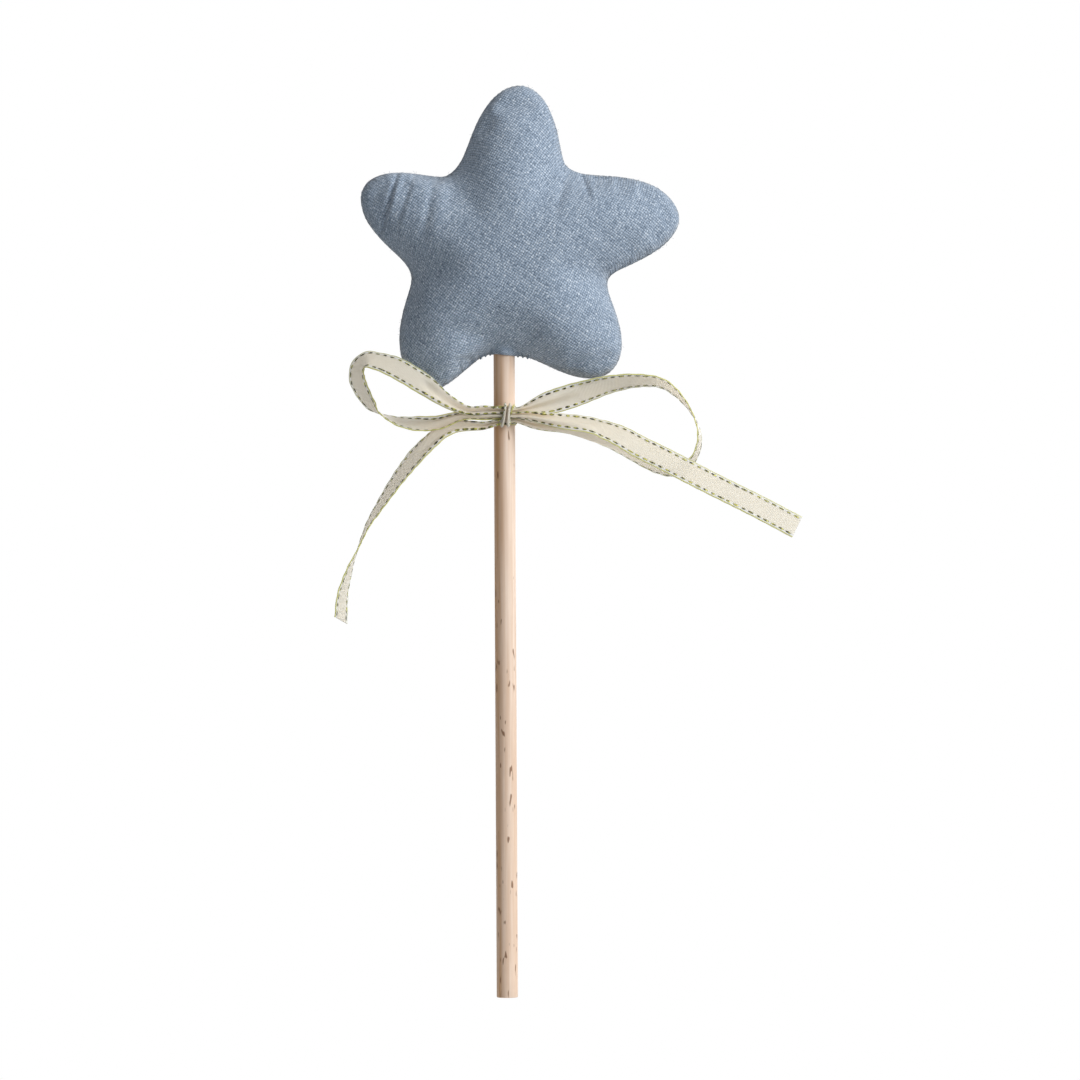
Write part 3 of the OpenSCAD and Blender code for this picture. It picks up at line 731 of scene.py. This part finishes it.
# Stitches laid along lines: an oval of thread on every pitch, turned along the line and flat on the cloth
def stitchTree():
    tree, ids, given = newNodeTree("stitchRun", "Lines", {
        "Pitch": "Float", "Length": "Float", "Width": "Float", "Height": "Float", "Seed": "Int",
        "Thread": "Material"}, "Stitches")
    curve = addNode(tree, "GeometryNodeMeshToCurve", {0: given["Lines"]})
    spots = addNode(tree, "GeometryNodeResampleCurve", {"Curve": curve, "Length": given["Pitch"]}, mode='LENGTH')
    along = addNode(tree, "GeometryNodeInputTangent")
    lift = addNode(tree, "GeometryNodeInputNamedAttribute", {"Name": "lift"}, data_type='FLOAT_VECTOR')
    turn = addNode(tree, "FunctionNodeAlignRotationToVector", {"Vector": along}, axis='X')
    turn = addNode(tree, "FunctionNodeAlignRotationToVector", {"Rotation": turn, "Vector": lift},
                   axis='Z', pivot_axis='X')
    # no two stitches are quite as long
    vary = addNode(tree, "FunctionNodeRandomValue", {2: 0.7, 3: 1.2, "Seed": given["Seed"]}, data_type='FLOAT')
    long = addNode(tree, "ShaderNodeMath", {0: given["Length"], 1: vary}, operation='MULTIPLY')
    size = addNode(tree, "ShaderNodeCombineXYZ", {0: long, 1: given["Width"], 2: given["Height"]})
    oval = addNode(tree, "GeometryNodeMeshUVSphere", {"Segments": 8, "Rings": 5, "Radius": 0.5})
    laid = addNode(tree, "GeometryNodeInstanceOnPoints", {
        "Points": spots, "Instance": oval, "Rotation": turn, "Scale": size})
    plain = addNode(tree, "GeometryNodeRealizeInstances", {0: laid})
    smooth = addNode(tree, "GeometryNodeSetShadeSmooth", {0: plain})
    dyed = addNode(tree, "GeometryNodeSetMaterial", {0: smooth, "Material": given["Thread"]})
    addNode(tree, "NodeGroupOutput", {0: dyed})
    return tree, ids


stitchRun, stitchIds = stitchTree()


def sewStitches(name, lines, thread, values):
    # lines are (points, lifts): the path of the thread and the way out of the cloth along it
    points, edges, lifts = [], [], []
    for path, out in lines:
        first = len(points)
        points.extend(path)
        lifts.extend(out)
        edges.extend((first + k, first + k + 1) for k in range(len(path) - 1))
    piece = newPiece(name, points, [], thread, edges)
    lift = piece.data.attributes.new("lift", 'FLOAT_VECTOR', 'POINT')
    lift.data.foreach_set("vector", np.array(lifts).ravel())
    growNodes(piece, stitchRun, stitchIds, {**values, "Thread": thread})
    return piece


# Seam: lockstitch round the star, one thread on each panel, open at the dowel
seam = {"inset": 1.3 * mm, "side": 1.1 * mm, "open": 5 * mm, "stitch": {
    "Pitch": 2.4 * mm, "Length": 2.2 * mm, "Width": 0.4 * mm, "Height": 0.4 * mm, "Seed": 3}}
mouthAt = int(np.argmin(np.where(seamLine[:, 2] < starMiddle[2], np.abs(seamLine[:, 0]), 1)))
turned = np.roll(seamLine, -mouthAt, axis=0)  # starts at the mouth
inward = unit(starMiddle - turned)
keep = (np.abs(turned[:, 0]) > seam["open"]) | (turned[:, 2] > starMiddle[2])
seamRows = []
for side in (-1, 1):
    row = turned + inward * seam["inset"] + np.array([0, side * seam["side"], 0])
    seamRows.append((row[keep], np.tile([0.0, float(side), 0.0], (int(keep.sum()), 1))))
seamStitches = sewStitches("seamStitches", seamRows, sewingThread, seam["stitch"])
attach(seamStitches, "wand")
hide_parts("seam_thread")

# Mouth: hand stitches over the seam on both sides of the dowel, slanting one way and the other
mouth = {"places": (5.2 * mm, 7.0 * mm, 8.8 * mm), "half": 1.6 * mm, "slant": 0.5 * mm, "drop": 0.35 * mm,
         "rise": 1.5 * mm, "reach": 14 * mm, "thread": 0.2 * mm, "around": 8, "steps": 12}


def threadTube(path, radius, around):
    t = unit(np.gradient(path, axis=0))
    side = unit(np.cross(t, np.array([1.0, 0.03, 0.02])))  # any way across that no stitch runs along
    over = np.cross(t, side)
    return skinRings([[path[i] + radius * (side[i] * math.cos(a) + over[i] * math.sin(a)) for a in turns(around)]
                      for i in range(len(path))])


mouthPoints, mouthFaces = [], []
lowSeam = seamLine[(seamLine[:, 2] < starMiddle[2]) & (np.abs(seamLine[:, 0]) < mouth["reach"])]
lowSeam = lowSeam[np.argsort(lowSeam[:, 0])]
u = np.linspace(-1, 1, mouth["steps"])
for sign in (-1, 1):
    for k, place in enumerate(mouth["places"]):
        x = sign * place
        z = float(np.interp(x, lowSeam[:, 0], lowSeam[:, 2]))
        slant = mouth["slant"] * (1 if k % 2 else -1)
        path = np.stack([x + slant * u, mouth["half"] * u, z - mouth["drop"] + mouth["rise"] * u * u], 1)
        points, faces = threadTube(path, mouth["thread"], mouth["around"])
        first = len(mouthPoints)
        mouthPoints += points
        mouthFaces += [tuple(first + v for v in f) for f in faces]
mouthStitches = newPiece("mouthStitches", mouthPoints, mouthFaces, sewingThread)
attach(mouthStitches, "wand")
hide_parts("closing_stitches")
print("seam and mouth sewn")


# Fuzz: loose linen fibres that stand off the cloth, so many to a square metre. A single fibre is about 0.02 mm
# thick; drawn with a radius of 0.035 mm to show.
fuzz = {"Density": 200000.0, "Length": 1.1 * mm, "Thickness": 0.035 * mm, "Seed": 11}


def fuzzTree():
    tree, ids, given = newNodeTree("looseFibres", "Cloth", {
        "Density": "Float", "Length": "Float", "Thickness": "Float", "Seed": "Int", "Fibre": "Material"}, "Fibres")
    spots = addNode(tree, "GeometryNodeDistributePointsOnFaces", {
        "Mesh": given["Cloth"], "Density": given["Density"], "Seed": given["Seed"]})
    # one fibre of length 1: rooted under the cloth, up and over
    bend = addNode(tree, "GeometryNodeCurveQuadraticBezier", {
        "Resolution": 4, "Start": (0, 0, -0.08), "Middle": (0.1, 0.0, 0.5), "End": (0.75, 0.2, 0.55)})
    strand = addNode(tree, "ShaderNodeMath", {0: given["Thickness"], 1: given["Length"]}, operation='DIVIDE')
    outline = addNode(tree, "GeometryNodeCurvePrimitiveCircle", {"Resolution": 3, "Radius": strand})
    hair = addNode(tree, "GeometryNodeCurveToMesh", {"Curve": bend, "Profile Curve": outline, "Fill Caps": True})
    spin = addNode(tree, "FunctionNodeRandomValue", {
        0: (-0.5, -0.5, -math.pi), 1: (0.5, 0.5, math.pi), "Seed": given["Seed"]}, data_type='FLOAT_VECTOR')
    spin = addNode(tree, "FunctionNodeEulerToRotation", {0: spin})
    turn = addNode(tree, "FunctionNodeRotateRotation", {0: spots.outputs["Rotation"], 1: spin},
                   rotation_space='LOCAL')
    vary = addNode(tree, "FunctionNodeRandomValue", {2: 0.4, 3: 1.3, "Seed": given["Seed"]}, data_type='FLOAT')
    long = addNode(tree, "ShaderNodeMath", {0: given["Length"], 1: vary}, operation='MULTIPLY')
    laid = addNode(tree, "GeometryNodeInstanceOnPoints", {
        "Points": spots, "Instance": hair, "Rotation": turn, "Scale": long})
    plain = addNode(tree, "GeometryNodeRealizeInstances", {0: laid})
    dyed = addNode(tree, "GeometryNodeSetMaterial", {0: plain, "Material": given["Fibre"]})
    addNode(tree, "NodeGroupOutput", {0: dyed})
    return tree, ids


def makeFuzz():
    (frontSpots, frontFaces), (backSpots, backFaces) = finePanels
    first = len(frontSpots)
    faces = frontFaces + [tuple(first + k for k in f) for f in backFaces]
    piece = newPiece("linenFuzz", np.vstack([frontSpots, backSpots]), faces, fibre)
    growNodes(piece, *fuzzTree(), {**fuzz, "Fibre": fibre})
    return piece


linenFuzz = makeFuzz()
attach(linenFuzz, "wand")
print("fuzz:", len(linenFuzz.data.polygons), "faces")

# Ribbon: one woven band, tied in a bow
ribbon = {"width": 10 * mm, "thick": 0.34 * mm, "stitchInset": 1.15 * mm, "across": 19, "rowSteps": 10,
          "folds": 3, "foldMost": 0.85 * mm, "camber": 0.18 * mm, "camberLeast": 0.6, "driftStep": 9 * mm,
          "ripple": 0.1 * mm, "rippleStep": 5.2 * mm, "rippleDrift": 2.2, "tuck": 1.7 * mm, "endTrim": 1.6 * mm,
          "pinch": 0.7, "pinchReach": 8 * mm, "gatherMost": 0.15}
# its cross wrap, drawn tight in slanting folds
knot = {"x": 1.5 * mm, "y": -6.65 * mm, "z": 218.1 * mm, "depth": 3.8 * mm, "height": 7.7 * mm,
        "depthShare": 0.68, "heightShare": 0.95, "square": 0.75, "lean": 0.9 * mm, "shift": -0.5 * mm,
        "slant": 1.3, "folds": 4, "foldMost": 0.84 * mm, "seed": 7}
# and its turn round the dowel, behind the knot
wrap = {"radius": 4.3 * mm, "gather": 0.72, "folds": 5, "foldMost": 0.16 * mm, "camber": 0.0, "ripple": 0.0,
        "seed": 9}
ribbonCloth = makeRibbonCloth(ribbon["width"])

# each stretch runs from the knot outwards: sideways, forward and up as shares of its reach, depth and rise,
# height in the knot's stack as a share of the width, turn about its own line, and how far it is gathered
stretches = {
    "leftLoop": {"node": "left_loop", "side": -1, "face": -0.8 * mm, "reach": 54.6 * mm, "depth": 3.469 * mm,
                 "rise": 22 * mm, "tucked": 2, "held": "gathered", "rows": [
        [0, 0, 0, -0.02, -90, 0.3], [0.095, 0, 0, -0.02, -90, 0.32], [0.277, 0, 0, -0.01, -70, 0.34],
        [0.434, -0.39, -0.11, 0, -44, 0.75], [0.571, -0.83, -0.127, 0, -36, 0.95], [0.718, -1.34, -0.077, 0, -20, 1],
        [0.837, -1.58, 0.05, 0, 0, 1], [0.897, -1.65, 0.184, 0, 22, 1], [0.945, -1.62, 0.35, 0, 31, 1],
        [0.99, -1.3, 0.6, 0, 38, 1], [0.984, -0.8, 0.82, 0, 38, 1], [0.925, -0.2, 0.95, 0, 38, 1],
        [0.83, 0.5, 0.915, 0, 44, 1], [0.718, 1, 0.805, 0, 54, 1], [0.553, 1, 0.56, 0, 54, 1],
        [0.388, 0.75, 0.237, 0.05, 60, 0.62], [0.242, 0.35, 0.03, 0.125, 80, 0.34], [0.114, 0.05, 0, 0.2, 88, 0.34],
        [0, 0, 0, 0.27, 90, 0.34]]},
    "rightLoop": {"node": "right_loop", "side": 1, "face": 3.8 * mm, "reach": 69.2 * mm, "depth": 9.6 * mm,
                  "rise": 12.8 * mm, "tucked": 2, "held": "gathered", "rows": [
        [0, -0.12, 0, 0.24, -90, 0.27], [0.075, -0.13, 0.06, 0.2, -80, 0.42], [0.182, -0.15, 0.26, 0.12, -70, 0.85],
        [0.355, -0.21, 0.635, 0, -58, 1], [0.517, -0.38, 0.89, 0, -40, 1], [0.68, -0.59, 1, 0, -27, 1],
        [0.816, -0.745, 0.875, 0, -18, 1], [0.935, -0.9, 0.27, 0, -5, 1], [1, -0.963, -0.51, 0, 8, 1],
        [0.978, -1, -1.21, 0, 14, 1], [0.884, -1, -1.64, 0, 20, 1], [0.754, -0.995, -1.5, 0, 24, 1],
        [0.523, -0.963, -0.845, 0, 26, 0.95], [0.3, -0.57, -0.37, -0.06, 40, 0.7],
        [0.147, -0.235, -0.1, -0.27, 70, 0.4], [0.06, -0.14, -0.02, -0.28, 85, 0.3], [0, -0.12, 0, -0.26, 90, 0.27]]},
    "leftTail": {"node": "left_tail", "side": -1, "face": -0.8 * mm, "reach": 60.5 * mm, "depth": 4 * mm,
                 "rise": 76.3 * mm, "tucked": 1, "held": "hung", "rows": [
        [0, 0, 0, -0.36, -90, 0.28], [0.122, -0.26, -0.004, -0.36, -85, 0.3], [0.266, -0.56, -0.012, -0.3, -65, 0.5],
        [0.35, -0.6, -0.058, -0.1, -48, 0.74], [0.42, -0.67, -0.11, 0, -41, 0.9], [0.528, -0.8, -0.19, 0, -37, 1],
        [0.608, -0.92, -0.266, 0, -32, 1], [0.675, -0.99, -0.338, 0, -27, 1], [0.785, -0.96, -0.47, 0, -17, 1],
        [0.841, -0.8, -0.546, 0, -10, 1], [0.911, -0.4, -0.679, 0, 0, 1], [0.944, 0, -0.75, 0, 10, 1],
        [0.974, 0.5, -0.828, 0, 17, 1], [0.992, 0.95, -0.9, 0, 23, 1], [1, 1.5, -1, 0, 26, 1]]},
    "rightTail": {"node": "right_tail", "side": 1, "face": 3.8 * mm, "reach": 105.5 * mm, "depth": 3.8 * mm,
                  "rise": 42.4 * mm, "tucked": 1, "held": "hung", "rows": [
        [0, 0.09, 0, 0, 90, 0.3], [0.045, 0.17, 0, -0.01, 85, 0.34], [0.0985, 0.25, -0.03, 0, 62, 0.4],
        [0.179, 0.25, -0.061, 0, 38, 0.75], [0.265, 0.2, -0.09, 0, 34, 0.97], [0.323, 0.16, -0.137, 0, 44, 1],
        [0.38, 0.12, -0.197, 0, 53, 1], [0.4425, 0.09, -0.286, 0, 58, 1], [0.5325, 0.09, -0.397, 0, 59, 1],
        [0.673, 0.06, -0.58, 0, 58, 1], [0.7735, 0, -0.706, 0, 58, 1], [0.874, -0.1, -0.8325, 0, 59, 1],
        [1, -0.17, -1, 0, 60, 1]]},
}


def smoothRows(rows, steps):
    rows, out = np.array(rows, float), []
    n = len(rows)
    for i in range(n - 1):
        a, b, c, d = rows[max(i - 1, 0)], rows[i], rows[i + 1], rows[min(i + 2, n - 1)]
        for k in range(steps):
            u = k / steps
            out.append((2 * b + (c - a) * u + (2 * a - 5 * b + 4 * c - d) * u * u
                        + (3 * b - a - 3 * c + d) * u ** 3) / 2)
    return np.array(out + [rows[-1]])


def foldedGrid(cloth, line, across, out, gather, seed, slant=0.0):
    # ribbon surface: gathered cloth stands in folds, loose cloth is slightly cambered with rippled edges
    run, v = runAlong(line), np.linspace(-1, 1, cloth["across"])[None, :]
    fold = cloth["width"] / (2 * cloth["folds"]) * np.sqrt(np.maximum(1 - gather ** 2, 0))
    fold = np.minimum(fold, cloth["foldMost"])
    # the seed gives each stretch folds and ripples of its own
    phase = np.broadcast_to(seed * 1.7 + np.asarray(slant), run.shape)[:, None]
    lift = fold[:, None] * np.sin(math.pi * cloth["folds"] * (v + 1) / 2 + phase)
    loose = np.clip((gather - 0.5) / 0.5, 0, 1)[:, None]
    drift = np.array([noise.noise(Vector((s / cloth["driftStep"], seed * 3.1, 0))) for s in run])
    wave = np.sin(math.tau * run / cloth["rippleStep"] + cloth["rippleDrift"] * drift + seed)
    lift += loose * (cloth["camber"] * (1 - v ** 2) * (cloth["camberLeast"] + drift[:, None])
                     + cloth["ripple"] * wave[:, None] * np.sign(v) * np.abs(v) ** 4)
    off = (cloth["width"] / 2 * gather)[:, None] * v
    return line[:, None, :] + across[:, None, :] * off[:, :, None] + out[:, None, :] * lift[:, :, None], run


stitchLines = {"bow": [], "knot": [], "band": []}


def keepStitchLines(place, grid, closed):
    # the two lines of metal thread, just inside each edge
    v = np.linspace(-1, 1, ribbon["across"])
    spot = 1 - 2 * ribbon["stitchInset"] / ribbon["width"]
    ring = np.vstack([grid, grid[:1]]) if closed else grid
    lifts = unit(np.cross(unit(np.gradient(ring, axis=0)), unit(np.gradient(ring, axis=1))))
    for share in (-spot, spot):
        j = int(np.clip(np.searchsorted(v, share) - 1, 0, len(v) - 2))
        u = (share - v[j]) / (v[j + 1] - v[j])
        row = ring[:, j] * (1 - u) + ring[:, j + 1] * u
        past = runAlong(row)
        kept = past <= past[-1] - (0 if closed else ribbon["endTrim"])
        stitchLines[place].append((row[kept], lifts[kept, j]))


def ribbonPiece(name, grid, run, closed, place, body, node):
    rows, cols = grid.shape[:2]
    step, faces, spots = ribbon["width"] / (cols - 1), [], []
    for i in range(rows if closed else rows - 1):
        k = (i + 1) % rows
        ahead = run[i + 1] if i + 1 < rows else run[-1] + run[1]
        for j in range(cols - 1):
            faces.append((i * cols + j, i * cols + j + 1, k * cols + j + 1, k * cols + j))
            spots += [(run[i], j * step), (run[i], (j + 1) * step), (ahead, (j + 1) * step), (ahead, j * step)]
    piece = newPiece(name, grid.reshape(-1, 3), faces, ribbonCloth)
    piece.data.uv_layers.new(name="flat").data.foreach_set("uv", np.array(spots).ravel())
    thick = piece.modifiers.new("ribbon", 'SOLIDIFY')
    thick.thickness = ribbon["thick"]
    thick.offset = 0
    keepStitchLines(place, grid, closed)
    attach(piece, body)
    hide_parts(node)


for seed, (name, stretch) in enumerate(stretches.items()):
    rows = [list(r) for r in stretch["rows"]]
    tuck = ribbon["tuck"] / stretch["reach"]
    rows.insert(0, [-tuck] + rows[0][1:])
    if stretch["tucked"] == 2:
        rows.append([-tuck] + rows[-1][1:])
    rows = smoothRows(rows, ribbon["rowSteps"])
    # the knot draws the strands together
    near = np.clip(rows[:, 0] * stretch["reach"] / ribbon["pinchReach"], 0, 1)
    pinch = ribbon["pinch"] + (1 - ribbon["pinch"]) * near * near * (3 - 2 * near)
    rows[:, 3] *= pinch
    rows[:, 5] *= pinch
    line = np.stack([stretch["face"] + stretch["side"] * stretch["reach"] * rows[:, 0],
                     knot["y"] - stretch["depth"] * rows[:, 1],
                     knot["z"] + stretch["rise"] * rows[:, 2] + ribbon["width"] * rows[:, 3]], 1)
    along = unit(np.gradient(line, axis=0))
    back = unit(np.array([0, 1, 0]) - along[:, 1:2] * along)
    turn = np.radians(rows[:, 4])[:, None]
    across = back * np.cos(turn) + np.cross(along, back) * np.sin(turn)
    gather = np.clip(rows[:, 5], ribbon["gatherMost"], 1)
    grid, run = foldedGrid(ribbon, line, across, np.cross(along, across), gather, seed)
    ribbonPiece(name, grid, run, False, "bow", "bow", stretch["node"])
print("loops and tails made")

# knot and wrap go round, so they share their angles
angles = np.array(turns(72))
cosine, sine, nought = np.cos(angles), np.sin(angles), np.zeros(len(angles))
ringY = np.sign(sine) * np.abs(sine) ** knot["square"] * knot["depth"] / 2 * knot["depthShare"]
ringZ = np.sign(cosine) * np.abs(cosine) ** knot["square"] * knot["height"] / 2 * knot["heightShare"]
line = np.stack([knot["x"] + knot["lean"] * cosine + knot["shift"], knot["y"] + ringY, knot["z"] + ringZ], 1)
outward = unit(np.stack([nought, ringY / knot["depth"] ** 2, ringZ / knot["height"] ** 2], 1))
gather = 0.3 + 0.12 * cosine ** 2 - 0.05 * cosine  # tightest at the front and back
grid, run = foldedGrid({**ribbon, **knot}, line, np.tile([1.0, 0.0, 0.0], (len(angles), 1)), outward, gather,
                       knot["seed"], knot["slant"] * cosine)
ribbonPiece("knotRibbon", grid, run, True, "knot", "bow", "ribbon_knot")

outward = np.stack([cosine, sine, nought], 1)
line = wrap["radius"] * outward + np.array([0, 0, knot["z"]])
grid, run = foldedGrid({**ribbon, **wrap}, line, np.tile([0.0, 0.0, 1.0], (len(angles), 1)), outward,
                       nought + wrap["gather"], wrap["seed"])
ribbonPiece("wrapRibbon", grid, run, True, "band", "band", "ribbon_wrap")
print("knot and wrap made")

# metal thread along both edges, shorter stitches where the knot bends it
edging = {"Pitch": 3.1 * mm, "Length": 3.0 * mm, "Width": 0.92 * mm, "Height": 0.6 * mm, "Seed": 5}
short = dict(edging, Pitch=1.7 * mm, Length=1.2 * mm, Width=0.5 * mm, Height=0.4 * mm)
for place, name, body, values in (("bow", "edgeStitches", "bow", edging), ("knot", "knotStitches", "bow", short),
                                  ("band", "wrapStitches", "band", edging)):
    piece = sewStitches(name, stitchLines[place], metalThread, values)
    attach(piece, body)
print("ribbon edges stitched")
